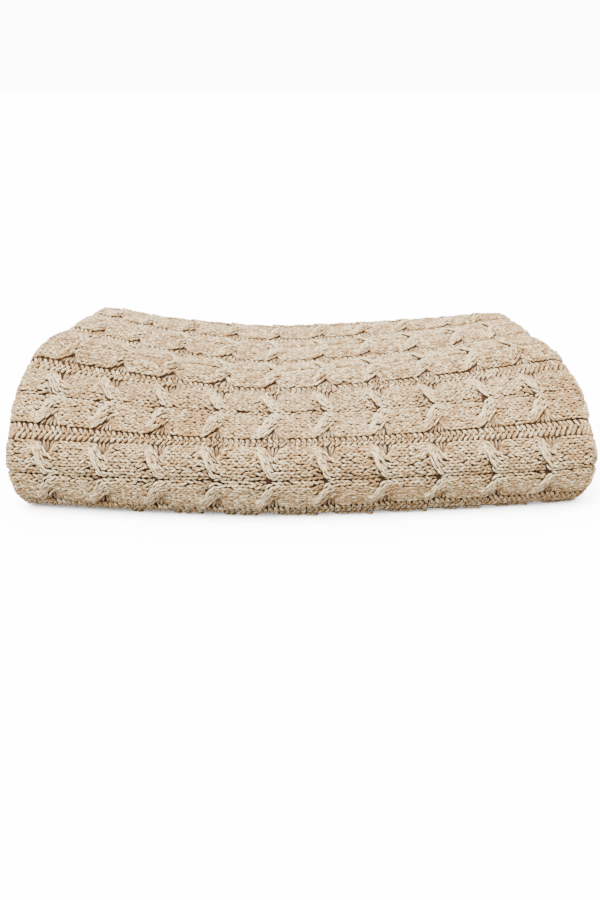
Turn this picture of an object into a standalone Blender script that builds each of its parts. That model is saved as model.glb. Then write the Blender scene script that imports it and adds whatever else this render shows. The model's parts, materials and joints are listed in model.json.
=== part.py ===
"""A cable knit throw blanket, folded in thirds along its cables and in quarters across them.

The throw is one knitted panel. Its two short ends are folded in over the middle third, which
makes a strip three layers thick. The strip is then folded in half and in half again, so that
its section runs back and forth: along the floor to the front, round a fat nose, over the top,
down a fold at the back, forward to an inner fold and back again. Twelve layers lie on each
other, a little apart. The cables run left to right, and the outer layer carries their relief.
Metres, +Z up, front towards -Y, origin on the floor under the middle.
"""

import math
from collections import namedtuple

import bmesh
import bpy
import numpy as np

# Knitting
CABLE_PITCH = 0.0737  # one double cable and one purl channel, across the cables
CROSS_PITCH = 0.048  # from one cable crossing to the next, along the cables
CROSS_START = 0.022  # where one of the crossings lies, right of the middle

# Folded stack
SHEET = 0.0052  # one layer of knitting, pressed a little by those above it
LAYER_STEPS = 11  # twelve layers have eleven steps between them
HALF_WIDTH = 0.254
DEPTH = 0.309
STACK_MIDDLE = 0.15493  # the section is traced from y = 0 and moved back by this much
CREST_BACK = 0.130  # how far behind the front the stack reaches its full height
TOP_FALL = 0.02  # slope of the top behind the crest
SAG_CENTRE = -0.033  # the top sags lowest a little left of the middle
SAG_POWER = 1.5
RISE_LEFT = 0.040  # how much higher than the sag each end stands
RISE_RIGHT = 0.030
RISE_FADE = 0.36  # share of that rise lost by the time the back is reached
FADE_REACH = 0.16
FRONT_START = 0.003
FRONT_BOW_LEFT = 0.015  # how far the front falls back at each end
FRONT_BOW_RIGHT = 0.023
END_TUCK = 0.006  # how far floor and top are drawn in at the ends
TUCK_REACH = 0.10
BACK_TUCK_LEFT = 0.018  # how much further the ends are drawn in towards the back
BACK_TUCK_RIGHT = 0.013
BACK_TUCK_FROM = 0.09  # how far behind the front that starts, and where it is whole
BACK_TUCK_TO = 0.20

# Nose of the front fold
FLOOR_ROUND_SPARE = 0.001  # room inside the lower arc for the innermost layer
NOSE_START = 0.034
CABLE_START = 0.040  # height of the first cable's middle, on the front
INNER_FOLD = 0.078  # how far behind the front the inner fold's centre lies

Shape = namedtuple("Shape", "height radius slope")
MIDDLE = Shape(height=0.080, radius=0.028, slope=0.404)
END = Shape(height=0.120, radius=0.045, slope=0.840)

# How far each stretch of the strip is drawn in at its two ends, negative where it swells out
StripEnds = namedtuple("StripEnds", "stretch left right")
STRIP_ENDS = (
    StripEnds("floor", 0.000, 0.001),
    StripEnds("nose", 0.000, 0.000),
    StripEnds("top", -0.0045, 0.001),
    StripEnds("back fold", 0.002, 0.003),
    StripEnds("upper inner", 0.007, 0.006),
    StripEnds("inner fold", 0.008, 0.009),
    StripEnds("lower inner", 0.005, 0.004),
)
FLOOR_FREE_EDGE = 0.008  # how far the two free edges stop short of the back
INNER_FREE_EDGE = 0.015

# Outward relief of the outer layer at four places between two crossings
RELIEF_PHASES = (0.0, 0.12, 0.45, 0.80)
Relief = namedtuple("Relief", "across crossing opening lobe closing")
CABLE_RELIEF = (
    Relief(0.0, 0.0036, 0.0022, 0.0020, 0.0026),
    Relief(0.2, 0.0046, 0.0034, 0.0036, 0.0042),
    Relief(0.4, 0.0000, 0.0022, 0.0024, 0.0018),
    Relief(0.5, 0.0000, 0.0000, 0.0000, 0.0000),
)
RELIEF_FADE = 0.014  # height above the floor at which the relief is whole

# Mesh steps
ROWS_PER_CABLE = (-0.4, -0.2, 0.0, 0.2, 0.4, 0.5)
CABLES_SHOWN = 5
FLOOR_STEPS = 3
BACK_STEPS = 4
INNER_STEPS = 3
FOLD_STEPS = 4
FLAP_COLUMNS = (0.085, 0.020, -0.030, -0.080, -0.145)
LEFT_TURN_STEPS = 4
RIGHT_TURN_STEPS = 5

# Folds of the two short ends, with the first flap inside the second fold
LEFT_TURN = -0.2462
RIGHT_TURN = 0.243
FIRST_FLAP_EDGE = 0.2365
SECOND_FLAP_EDGE = -0.2455
LAST_CROSSING_SPARE = 0.008  # the folds' ends keep this clear of the relief's columns

YARN_COLOUR = (0.60, 0.47, 0.33, 1.0)
YARN_ROUGHNESS = 0.95


def smooth(t):
    t = np.clip(t, 0.0, 1.0)
    return t * t * (3 - 2 * t)


def end_share(x):
    """0 where the stack sags, 1 at either end."""
    reach = HALF_WIDTH + SAG_CENTRE if x < SAG_CENTRE else HALF_WIDTH - SAG_CENTRE
    return (abs(x - SAG_CENTRE) / reach) ** SAG_POWER


def rise(x):
    return end_share(x) * (RISE_LEFT if x < SAG_CENTRE else RISE_RIGHT)


def front(x):
    """Where the front of the nose lies at this place along the stack."""
    return FRONT_START + end_share(x) * (FRONT_BOW_LEFT if x < SAG_CENTRE else FRONT_BOW_RIGHT)


class Section:
    """The strip's outer face at one place along the stack, and the depth of its layers."""

    def __init__(self, x):
        self.x = x
        self.rise = rise(x)
        self.front = front(x)
        share = self.rise / (END.height - MIDDLE.height)
        self.radius = MIDDLE.radius + share * (END.radius - MIDDLE.radius)
        self.slope = MIDDLE.slope + share * (END.slope - MIDDLE.slope)
        self.turned = math.pi / 2 - math.atan(self.slope)
        self.nose_y = self.front + self.radius * (1 - math.cos(self.turned))
        self.nose_z = NOSE_START + self.radius * math.sin(self.turned)
        self.inner_y = self.front + INNER_FOLD
        self.trace()

    def top(self, y):
        """Height of the top, from the nose's upper arc to the back fold."""
        length = 2 * (MIDDLE.height + self.rise - self.nose_z) / self.slope
        along = np.clip(y - self.nose_y, 0, length)
        z = self.nose_z + self.slope * along - self.slope / (2 * length) * along**2
        behind = np.clip(y - CREST_BACK, 0, None)
        return z - TOP_FALL * behind - self.rise * RISE_FADE * (behind / FADE_REACH) ** 2

    def pitch(self, y):
        """Distance between neighbouring layers: twelve of them share the stack's height."""
        return (self.top(np.maximum(y, self.inner_y)) - SHEET) / LAYER_STEPS

    def arc(self, centre_y, centre_z, radius, start, turn, points):
        """Points and travel directions on an arc, clockwise for a negative turn."""
        travel = start + np.linspace(0, turn, points)
        side = -math.copysign(1, turn)
        y = centre_y - side * radius * np.sin(travel)
        z = centre_z + side * radius * np.cos(travel)
        return y, z, np.sin(travel), -np.cos(travel)

    def level(self, y_from, y_to, height, inward_z, points=16):
        """Points of a lying stretch, whose layers are stacked straight up or down."""
        y = np.linspace(y_from, y_to, points)
        return y, height(y), np.zeros(points), np.full(points, inward_z)

    def over_the_top(self, back_y, points=60):
        """The top stretch: its layers follow its slope at the nose and are stacked behind it."""
        y = np.linspace(self.nose_y, back_y, points)
        z = self.top(y)
        travel = np.arctan2(np.gradient(z), np.gradient(y))
        stacked = smooth((y - self.nose_y) / (self.inner_y - self.nose_y))
        inward_y = (1 - stacked) * np.sin(travel)
        inward_z = -(1 - stacked) * np.cos(travel) - stacked
        return y, z, inward_y, inward_z

    def trace(self):
        """Walks the strip from its edge on the floor at the back to its edge inside the stack."""
        floor_round = 2 * self.pitch(self.inner_y) + SHEET + FLOOR_ROUND_SPARE
        back_pitch = self.pitch(DEPTH - 3 * SHEET)
        back_radius = (5 * back_pitch + SHEET) / 2
        back_y = DEPTH - back_radius
        fold_pitch = self.pitch(self.inner_y)
        fold_radius = (fold_pitch - SHEET) / 2
        fold_z = 6 * fold_pitch - fold_radius
        front_y = self.front
        quarter = math.pi / 2
        stretches = {
            "floor": [
                self.level(DEPTH - FLOOR_FREE_EDGE, front_y + floor_round, lambda y: 0 * y, 1.0)
            ],
            "nose": [
                self.arc(front_y + floor_round, floor_round, floor_round, math.pi, -quarter, 14),
                self.arc(front_y + self.radius, NOSE_START, self.radius, quarter, -self.turned, 18),
            ],
            "top": [self.over_the_top(back_y)],
            "back fold": [
                self.arc(back_y, self.top(back_y) - back_radius, back_radius, 0, -math.pi, 24)
            ],
            "upper inner": [
                self.level(back_y, self.inner_y, lambda y: 6 * self.pitch(y), 1.0, 30)
            ],
            "inner fold": [self.arc(self.inner_y, fold_z, fold_radius, math.pi, math.pi, 24)],
            "lower inner": [
                self.level(
                    self.inner_y,
                    DEPTH - INNER_FREE_EDGE,
                    lambda y: 5 * self.pitch(y) + SHEET,
                    -1.0,
                    30,
                )
            ],
        }
        pieces = []
        self.starts = {}
        self.ends = {}
        count = 0
        for name, parts in stretches.items():
            self.starts[name] = count
            pieces += parts
            count += sum(len(part[0]) for part in parts)
            self.ends[name] = count - 1
        self.y, self.z, self.inward_y, self.inward_z = map(np.concatenate, zip(*pieces))
        steps = np.hypot(np.diff(self.y), np.diff(self.z))
        self.run = np.concatenate([[0], np.cumsum(steps)])
        nose = slice(self.starts["nose"], self.ends["nose"] + 1)
        self.run -= np.interp(CABLE_START, self.z[nose], self.run[nose])
        self.pitches = self.pitch(self.y)
        self.starts = {name: float(self.run[i]) for name, i in self.starts.items()}
        self.ends = {name: float(self.run[i]) for name, i in self.ends.items()}

    def at(self, run, depth, out=0.0):
        """The point at this arc length and this depth under the outer face, in layer pitches."""
        y, z, inward_y, inward_z, pitch = (
            np.interp(run, self.run, values)
            for values in (self.y, self.z, self.inward_y, self.inward_z, self.pitches)
        )
        inset = SHEET / 2 + depth * pitch - out
        return y + inset * inward_y, z + inset * inward_z, pitch


def evenly(start, end, steps):
    """Plain rows at equal steps after the start, the last of them at the end."""
    return [(start + (end - start) * step / steps, None) for step in range(1, steps + 1)]


def rows(section):
    """Arc lengths of the mesh rows, and each row's place across its cable, None where plain."""
    ends = section.ends
    cables = [
        ((cable + across) * CABLE_PITCH, across)
        for cable in range(CABLES_SHOWN)
        for across in ROWS_PER_CABLE
    ]
    cables.pop()
    found = [(section.starts["floor"], None)]
    found += evenly(section.starts["floor"], ends["floor"], FLOOR_STEPS)
    found += evenly(ends["floor"], cables[0][0], 2)[:1]
    found += cables
    found += evenly(cables[-1][0], ends["back fold"], BACK_STEPS)
    found += evenly(ends["back fold"], ends["upper inner"], INNER_STEPS)
    found += evenly(ends["upper inner"], ends["inner fold"], FOLD_STEPS)
    found += evenly(ends["inner fold"], ends["lower inner"], INNER_STEPS)
    return found


Column = namedtuple("Column", "x depth out relief")


def columns():
    """The mesh columns along the panel's length: first flap, fold, middle third, fold, flap.

    depth and out are in layer pitches: how deep under the strip's outer face the panel lies,
    and how far it reaches beyond the fold's centre."""
    found = []
    for x in (FIRST_FLAP_EDGE,) + FLAP_COLUMNS:
        found.append(Column(x, 1, 0, 0))
    for step in range(LEFT_TURN_STEPS + 1):
        angle = math.pi * (1 - step / LEFT_TURN_STEPS)
        depth = 0.5 * (1 - math.cos(angle))
        relief = float(smooth(1 - depth / 0.75))
        found.append(Column(LEFT_TURN, depth, -0.5 * math.sin(angle), relief))
    first = math.floor((LEFT_TURN - CROSS_START) / CROSS_PITCH)
    last = math.ceil((RIGHT_TURN - CROSS_START) / CROSS_PITCH)
    for crossing in range(first, last + 1):
        for phase in RELIEF_PHASES:
            x = CROSS_START + (crossing + phase) * CROSS_PITCH
            if LEFT_TURN + LAST_CROSSING_SPARE < x < RIGHT_TURN - LAST_CROSSING_SPARE:
                found.append(Column(x, 0, 0, 1))
    for step in range(RIGHT_TURN_STEPS + 1):
        angle = math.pi * step / RIGHT_TURN_STEPS
        depth = 1 - math.cos(angle)
        relief = float(smooth(1 - depth / 1.5))
        found.append(Column(RIGHT_TURN, depth, math.sin(angle), relief))
    for x in FLAP_COLUMNS + (SECOND_FLAP_EDGE,):
        found.append(Column(x, 2, 0, 0))
    return found


def cable_relief(x, across):
    """Height of the cable pattern here, above the purl channels."""
    phase = ((x - CROSS_START) / CROSS_PITCH) % 1.0
    phases = RELIEF_PHASES + (1.0,)
    levels = []
    for line in CABLE_RELIEF:
        heights = (line.crossing, line.opening, line.lobe, line.closing, line.crossing)
        levels.append(np.interp(phase, phases, heights))
    return float(np.interp(abs(across), [line.across for line in CABLE_RELIEF], levels))


def drawn_in(section, run, left):
    """How far this stretch of the strip stops short of the widest one."""
    starts, ends = section.starts, section.ends
    middles = [(starts[line.stretch] + ends[line.stretch]) / 2 for line in STRIP_ENDS]
    amounts = [line.left if left else line.right for line in STRIP_ENDS]
    return np.interp(run, middles, amounts)


def place(section, column, run, across):
    """The point of the panel's middle face in this column, at this arc length of the strip."""
    y, z, pitch = section.at(run, column.depth)
    height = MIDDLE.height + section.rise
    left = column.x < 0
    tuck = END_TUCK * (2 * z / height - 1) ** 2 + drawn_in(section, run, left)
    behind = smooth((y - BACK_TUCK_FROM) / (BACK_TUCK_TO - BACK_TUCK_FROM))
    tuck += (BACK_TUCK_LEFT if left else BACK_TUCK_RIGHT) * behind
    near_end = smooth(1 - (HALF_WIDTH - abs(column.x)) / TUCK_REACH)
    x = column.x + column.out * pitch
    x += (tuck if left else -tuck) * near_end
    relief = 0.0
    if across is not None and column.relief:
        relief = column.relief * cable_relief(column.x, across) * smooth(z / RELIEF_FADE)
    if relief:
        y, z, _ = section.at(run, column.depth, relief)
    return x, y - STACK_MIDDLE, z


def folded_panel(name):
    """A flat grid whose points are carried to their places in the fold, then thickened."""
    across = columns()
    sections = [Section(column.x) for column in across]
    lines = [rows(section) for section in sections]
    row_count = len(lines[0])
    column_count = len(across)
    mesh = bpy.data.meshes.new(name)
    grid = bmesh.new()
    bmesh.ops.create_grid(grid, x_segments=column_count - 1, y_segments=row_count - 1, size=1.0)
    grid.verts.ensure_lookup_table()
    for vertex in grid.verts:
        row, column = divmod(vertex.index, column_count)
        run, place_across = lines[column][row]
        vertex.co = place(sections[column], across[column], run, place_across)
    grid.to_mesh(mesh)
    grid.free()
    panel = bpy.data.objects.new(name, mesh)
    thicken = panel.modifiers.new("Thickness", "SOLIDIFY")
    thicken.thickness = SHEET
    thicken.offset = 0.0
    thicken.use_even_offset = False
    return panel


def yarn_material():
    material = bpy.data.materials.new("oatmeal_yarn")
    material.use_nodes = True
    shader = material.node_tree.nodes["Principled BSDF"]
    shader.inputs["Base Color"].default_value = YARN_COLOUR
    shader.inputs["Roughness"].default_value = YARN_ROUGHNESS
    return material


def main():
    for item in list(bpy.data.objects):
        bpy.data.objects.remove(item, do_unlink=True)
    collection = bpy.data.collections.new("cable_knit_throw")
    bpy.context.scene.collection.children.link(collection)
    throw = folded_panel("throw")
    throw.data.materials.append(yarn_material())
    collection.objects.link(throw)


main()
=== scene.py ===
"""The looks of a folded cable knit throw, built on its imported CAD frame.

The throw's folds are traced again here as the ground that the knitting sits on, and the stitches
in sight are laid on that ground as short lengths of yarn. Metres, +Z up, front towards -Y.
"""

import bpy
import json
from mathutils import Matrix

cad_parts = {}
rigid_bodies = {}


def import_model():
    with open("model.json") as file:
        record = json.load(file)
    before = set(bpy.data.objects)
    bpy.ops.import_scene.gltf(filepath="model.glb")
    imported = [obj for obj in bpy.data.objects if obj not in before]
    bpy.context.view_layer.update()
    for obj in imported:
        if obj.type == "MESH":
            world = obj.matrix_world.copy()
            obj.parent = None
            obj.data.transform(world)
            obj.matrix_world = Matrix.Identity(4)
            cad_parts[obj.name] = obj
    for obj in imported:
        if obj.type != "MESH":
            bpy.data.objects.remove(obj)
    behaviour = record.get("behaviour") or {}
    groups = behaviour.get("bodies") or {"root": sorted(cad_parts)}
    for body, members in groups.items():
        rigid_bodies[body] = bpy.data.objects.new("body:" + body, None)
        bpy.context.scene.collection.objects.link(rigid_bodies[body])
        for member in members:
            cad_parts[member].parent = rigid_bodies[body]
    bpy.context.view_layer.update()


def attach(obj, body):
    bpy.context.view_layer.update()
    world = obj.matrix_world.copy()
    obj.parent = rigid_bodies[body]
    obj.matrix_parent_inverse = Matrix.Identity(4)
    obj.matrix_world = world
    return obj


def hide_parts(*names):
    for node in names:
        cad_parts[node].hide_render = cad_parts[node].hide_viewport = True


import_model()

import itertools
import json
import math
from collections import namedtuple

import bpy
import numpy as np
from bpy.props import FloatProperty, FloatVectorProperty, IntProperty, PointerProperty
from mathutils import Vector

bl_info = {
    "name": "Folded cable knit throw",
    "version": (1, 0, 0),
    "blender": (4, 5, 0),
    "location": "3D View > Sidebar > Throw",
    "description": "Builds a folded cable knit throw stitch by stitch on its packed frame",
    "category": "Object",
}

# Knitting
CABLE_PITCH = 0.0737  # one double cable and one purl channel, across the cables
CABLE_HALF = 0.427 * CABLE_PITCH
END_NARROWING = 0.11  # share of a cable's width lost at either end of the stack
CROSS_PITCH = 0.048  # from one cable crossing to the next, along the cables
CROSS_START = 0.022  # where one of the crossings lies, right of the middle
ROWS_PER_CROSSING = 10
ROW = CROSS_PITCH / ROWS_PER_CROSSING
WALES_PER_STRAND = 3

# Folded stack
SHEET = 0.0052
LAYER_STEPS = 11
HALF_WIDTH = 0.254
DEPTH = 0.309
STACK_MIDDLE = 0.15493
CREST_BACK = 0.130
TOP_FALL = 0.02
SAG_CENTRE = -0.033
SAG_POWER = 1.5
RISE_LEFT = 0.040
RISE_RIGHT = 0.030
RISE_FADE = 0.36
FADE_REACH = 0.16
FRONT_START = 0.003
FRONT_BOW_LEFT = 0.015
FRONT_BOW_RIGHT = 0.023
END_TUCK = 0.006
TUCK_REACH = 0.10
BACK_TUCK_LEFT = 0.018
BACK_TUCK_RIGHT = 0.013
BACK_TUCK_FROM = 0.09
BACK_TUCK_TO = 0.20
FLOOR_ROUND_SPARE = 0.001
NOSE_START = 0.034
CABLE_START = 0.040
INNER_FOLD = 0.078
FLOOR_FREE_EDGE = 0.008
INNER_FREE_EDGE = 0.015
LEFT_TURN = -0.2462
RIGHT_TURN = 0.243
FIRST_FLAP_EDGE = 0.2365
SECOND_FLAP_EDGE = -0.2455

Shape = namedtuple("Shape", "height radius slope")
MIDDLE = Shape(height=0.080, radius=0.028, slope=0.404)
END = Shape(height=0.120, radius=0.045, slope=0.840)

StripEnds = namedtuple("StripEnds", "stretch left right")
STRIP_ENDS = (
    StripEnds("floor", 0.000, 0.001),
    StripEnds("nose", 0.000, 0.000),
    StripEnds("top", -0.0045, 0.001),
    StripEnds("back fold", 0.002, 0.003),
    StripEnds("upper inner", 0.007, 0.006),
    StripEnds("inner fold", 0.008, 0.009),
    StripEnds("lower inner", 0.005, 0.004),
)

# Where the two strands of each half cable change places, in periods from the crossing
Shift = namedtuple("Shift", "inner outer inner_reach outer_reach")
OVER = Shift(inner=-0.145, outer=-0.070, inner_reach=0.24, outer_reach=0.40)
UNDER = Shift(inner=-0.030, outer=0.070, inner_reach=0.15, outer_reach=0.28)
CROWDED_AT = -0.26  # just before it, the upper strand crowds towards the cable's edge
CROWDED_REACH = 0.07
CROWDING = 0.17  # by this share of the cable's half

# Heights of the yarn's centre above the ground, in metres
KNIT_EDGE = 0.0021
FRONT_CROWN = 0.0020  # how much higher a cable's middle lies than its edges, on the front
TOP_CROWN = 0.0036  # and on the top, where nothing stretches the knitting
END_FLATTENING = 0.6  # share of that lost round the end folds
FLATTENING_REACH = 0.03
OVER_LIFT = 0.0025
OVER_SLOPE = 0.5  # share of that lift lost at the strand's outer side
UNDER_DROP = 0.0014
GROOVE = 0.0016
PURL = 0.0011
PURL_WIDENING = 0.22  # how much thicker the purl strokes are at either end
GROUND_BELOW = 0.0016  # how far under the yarn's centre the ground follows the cables
PAINTED_HIGHLIGHT = (0.60, 0.25, 0.10)  # painted highlight: how much whiter the upper strand's wales get where it is raised, the inner one first
MIDLINE_GAP = 0.014  # how far the knitting stays off the cable's midline, as a share of its half
PUFF = 0.16  # how much the cables swell between their crossings

# Long purl strokes that fill the wedge on each side of a crossing
WedgeStroke = namedtuple("WedgeStroke", "from_c from_place to_c to_place")
WEDGE = (
    WedgeStroke(-0.200, 1.03, -0.045, 0.70),
    WedgeStroke(-0.105, 1.06, -0.012, 0.62),
    WedgeStroke(-0.010, 1.07, 0.010, 0.59),
    WedgeStroke(0.085, 1.06, 0.035, 0.63),
    WedgeStroke(0.170, 1.02, 0.065, 0.74),
)

WEDGE_DIM = 0.42  # painted shade: share of their depth tone that the strokes lose towards the wedge's tip
# The wedge strokes' tone is darker than the knit's: painted shade where they lie deep.
WEDGE_TONE = 0.90
WEDGE_ARCH = 0.0006

# Purl strokes
# The purl strokes' tone is a little darker than the knit's: painted shade in the channels.
PURL_TONE = 0.96
PURL_ARCH = 0.0008
MIDDLE_PURL = 0.45  # thickness of the stroke between them where the stack sags, as a share

# Shades of the yarn: random ones, and painted light and shade
TOP_MARL = 2.4  # how much more the lengths of yarn differ in shade on the top
# Painted shade at the right end, the side away from the light, given as more tan yarn; the yarn is
# also more tan left of the middle on the cables behind the front
WARMTH = 0.22
WARM_FROM = 0.16
WARM_LEFT = -0.15
WARM_REACH = 0.07
FRONT_UNDER_DIM = 0.22  # painted shade: share of its tone that the lower strand loses where it sinks under, on the front
TOP_UNDER_DIM = 0.10  # and on the top
# Painted highlight: how much brighter the raised upper strand's tone gets
OVER_HIGHLIGHT = 0.1
OVER_THINNING = 0.04
PAINTED_SHADE_BELOW = 0.45  # painted shade: tone of a length's underside
TIP_HEIGHT = 0.35  # share of its height that a length's tips have, for their painted shade

# How much single stitches differ, at an unevenness of 1
RADIUS_JITTER = 0.08
SHADE_JITTER = 0.08
TOP_SHADE_JITTER = 0.2
SHARE_JITTER = 0.04  # of a wale
SLIDE_JITTER = 0.12  # of a row
LIFT_JITTER = 0.0003
FINE_JITTER = 0.0002

# Stitches seen at the edges
FLAP_ROWS = 5
EDGE_WALES = 2
WALE = 0.0050  # width of one wale there
CHAIN_OPEN = 0.0019  # height of the edge chain's legs at their open end
CHAIN_CLOSING = 0.0013
CHAIN_OUT = 0.0006  # how far the chain stands out from the edge
CHAIN_BULGE = 0.0007
CHAIN_FULLNESS = 1.05
INTO_SHEET = 0.0002  # how deep the edge's wales lie in the sheet's face

# Where stitches are laid
EDGE_SPARE = 0.002
FLOOR_OVERLAP = 0.006
BACK_SPARE = 0.004
LEFT_ROWS_BEYOND = 0.020  # rows go on this far past the left turn
RIGHT_ROWS_BEYOND = 0.032
LEFT_EDGE_BEYOND = 0.015
RIGHT_EDGE_BEYOND = 0.022

# Unevenness of the cables over the front fold, in metres along the strip
SLACK = 0.0075
SLACK_CENTRE = 0.072
SLACK_BELOW = 0.045
SLACK_ABOVE = 0.035
PULL_LEFT = 0.005  # how far the lowest purl channel is drawn up from the floor
PULL_RIGHT = 0.009
PULL_REACH = 0.02

# Lookup of the folded strip
COLUMNS = 151
RUN_FIRST = -0.36
RUN_LAST = 0.86
RUN_STEP = 0.0005

PLY_DEPTH = 0.48  # how dark the painted shade in the lines between the plies is

# Limits
FLOOR_GAP = 0.0002  # yarn pressed against the floor stops this far above it
FLOOR_SPARE = 0.0013  # lengths whose middle lies lower are left out: the floor would flatten them
TURN_SPARE = 0.0025  # rows keep their distance this far above an end fold
TINY = 1e-12

# Stage
BACKDROP = 12.0  # the surroundings as the camera sees them, as white as the floor
KEY_PLACE = (-0.35, -0.45, 1.4)
CAMERA_X = -0.003
CAMERA_BACK = 0.5403  # in front of the front fold
CAMERA_HEIGHT = 0.3458
CAMERA_PITCH = 27.04
LENS = 29.57
FILM = 36.0


def smooth(t):
    t = np.clip(t, 0.0, 1.0)
    return t * t * (3 - 2 * t)


def end_share(x):
    """0 where the stack sags, 1 at either end."""
    reach = HALF_WIDTH + np.sign(x - SAG_CENTRE) * abs(SAG_CENTRE)
    return (abs(x - SAG_CENTRE) / reach) ** SAG_POWER


def rise(x):
    return end_share(x) * (RISE_LEFT if x < SAG_CENTRE else RISE_RIGHT)


def front(x):
    """Where the front of the nose lies at this place along the stack."""
    return FRONT_START + end_share(x) * (FRONT_BOW_LEFT if x < SAG_CENTRE else FRONT_BOW_RIGHT)


def slack(x, run):
    """How far the knitting has slid down over the front fold, or up near the floor where negative."""
    along = (x - SAG_CENTRE) / (HALF_WIDTH + np.sign(SAG_CENTRE - x) * SAG_CENTRE)
    reach = np.where(run < SLACK_CENTRE, SLACK_BELOW, SLACK_ABOVE)
    down = SLACK * (1 - np.clip(along**2, 0, 1)) * np.exp(-(((run - SLACK_CENTRE) / reach) ** 2))
    up = PULL_LEFT + (PULL_RIGHT - PULL_LEFT) * smooth((x + 0.05) / 0.15)
    return down - up * np.exp(-(((run + CABLE_PITCH / 2) / PULL_REACH) ** 2))


def half_width(u):
    """Half the width of a cable here: the purl channels are wider towards the ends."""
    return CABLE_HALF * (1 - END_NARROWING * np.clip(end_share(u), 0, 1))


class Section:
    """The strip's outer face at one place along the stack, and the depth of its layers."""

    def __init__(self, x):
        self.x = x
        self.rise = rise(x)
        self.front = front(x)
        share = self.rise / (END.height - MIDDLE.height)
        self.radius = MIDDLE.radius + share * (END.radius - MIDDLE.radius)
        self.slope = MIDDLE.slope + share * (END.slope - MIDDLE.slope)
        self.turned = math.pi / 2 - math.atan(self.slope)
        self.nose_y = self.front + self.radius * (1 - math.cos(self.turned))
        self.nose_z = NOSE_START + self.radius * math.sin(self.turned)
        self.inner_y = self.front + INNER_FOLD
        self.trace()

    def top(self, y):
        """Height of the top, from the nose's upper arc to the back fold."""
        length = 2 * (MIDDLE.height + self.rise - self.nose_z) / self.slope
        along = np.clip(y - self.nose_y, 0, length)
        z = self.nose_z + self.slope * along - self.slope / (2 * length) * along**2
        behind = np.clip(y - CREST_BACK, 0, None)
        return z - TOP_FALL * behind - self.rise * RISE_FADE * (behind / FADE_REACH) ** 2

    def pitch(self, y):
        """Distance between neighbouring layers: twelve of them share the stack's height."""
        return (self.top(np.maximum(y, self.inner_y)) - SHEET) / LAYER_STEPS

    def arc(self, centre_y, centre_z, radius, start, turn, points):
        """Points and inward directions on an arc, clockwise for a negative turn."""
        travel = start + np.linspace(0, turn, points)
        side = -math.copysign(1, turn)
        y = centre_y - side * radius * np.sin(travel)
        z = centre_z + side * radius * np.cos(travel)
        return y, z, np.sin(travel), -np.cos(travel)

    def level(self, y_from, y_to, height, inward_z, points=16):
        """Points of a lying stretch, whose layers are stacked straight up or down."""
        y = np.linspace(y_from, y_to, points)
        return y, height(y), np.zeros(points), np.full(points, inward_z)

    def over_the_top(self, back_y, points=60):
        """The top stretch: its layers follow its slope at the nose and are stacked behind it."""
        y = np.linspace(self.nose_y, back_y, points)
        z = self.top(y)
        travel = np.arctan2(np.gradient(z), np.gradient(y))
        stacked = smooth((y - self.nose_y) / (self.inner_y - self.nose_y))
        inward_y = (1 - stacked) * np.sin(travel)
        inward_z = -(1 - stacked) * np.cos(travel) - stacked
        return y, z, inward_y, inward_z

    def trace(self):
        """Walks the strip from its edge on the floor at the back to its edge inside the stack."""
        floor_round = 2 * self.pitch(self.inner_y) + SHEET + FLOOR_ROUND_SPARE
        back_pitch = self.pitch(DEPTH - 3 * SHEET)
        back_radius = (5 * back_pitch + SHEET) / 2
        back_y = DEPTH - back_radius
        fold_pitch = self.pitch(self.inner_y)
        fold_radius = (fold_pitch - SHEET) / 2
        fold_z = 6 * fold_pitch - fold_radius
        front_y = self.front
        quarter = math.pi / 2
        stretches = {
            "floor": [
                self.level(DEPTH - FLOOR_FREE_EDGE, front_y + floor_round, lambda y: 0 * y, 1.0)
            ],
            "nose": [
                self.arc(front_y + floor_round, floor_round, floor_round, math.pi, -quarter, 14),
                self.arc(front_y + self.radius, NOSE_START, self.radius, quarter, -self.turned, 18),
            ],
            "top": [self.over_the_top(back_y)],
            "back fold": [
                self.arc(back_y, self.top(back_y) - back_radius, back_radius, 0, -math.pi, 24)
            ],
            "upper inner": [
                self.level(back_y, self.inner_y, lambda y: 6 * self.pitch(y), 1.0, 30)
            ],
            "inner fold": [self.arc(self.inner_y, fold_z, fold_radius, math.pi, math.pi, 24)],
            "lower inner": [
                self.level(
                    self.inner_y,
                    DEPTH - INNER_FREE_EDGE,
                    lambda y: 5 * self.pitch(y) + SHEET,
                    -1.0,
                    30,
                )
            ],
        }
        pieces = []
        starts = {}
        ends = {}
        count = 0
        for name, parts in stretches.items():
            starts[name] = count
            pieces += parts
            count += sum(len(part[0]) for part in parts)
            ends[name] = count - 1
        self.y, self.z, self.inward_y, self.inward_z = map(np.concatenate, zip(*pieces))
        steps = np.hypot(np.diff(self.y), np.diff(self.z))
        self.run = np.concatenate([[0], np.cumsum(steps)])
        nose = slice(starts["nose"], ends["nose"] + 1)
        self.run -= np.interp(CABLE_START, self.z[nose], self.run[nose])
        self.starts = {name: float(self.run[i]) for name, i in starts.items()}
        self.ends = {name: float(self.run[i]) for name, i in ends.items()}

    def drawn_in(self, runs, side):
        """How far the strip's end stops short of the widest one, on the left or the right."""
        middles = [(self.starts[line.stretch] + self.ends[line.stretch]) / 2 for line in STRIP_ENDS]
        return np.interp(runs, middles, [getattr(line, side) for line in STRIP_ENDS])


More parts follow.
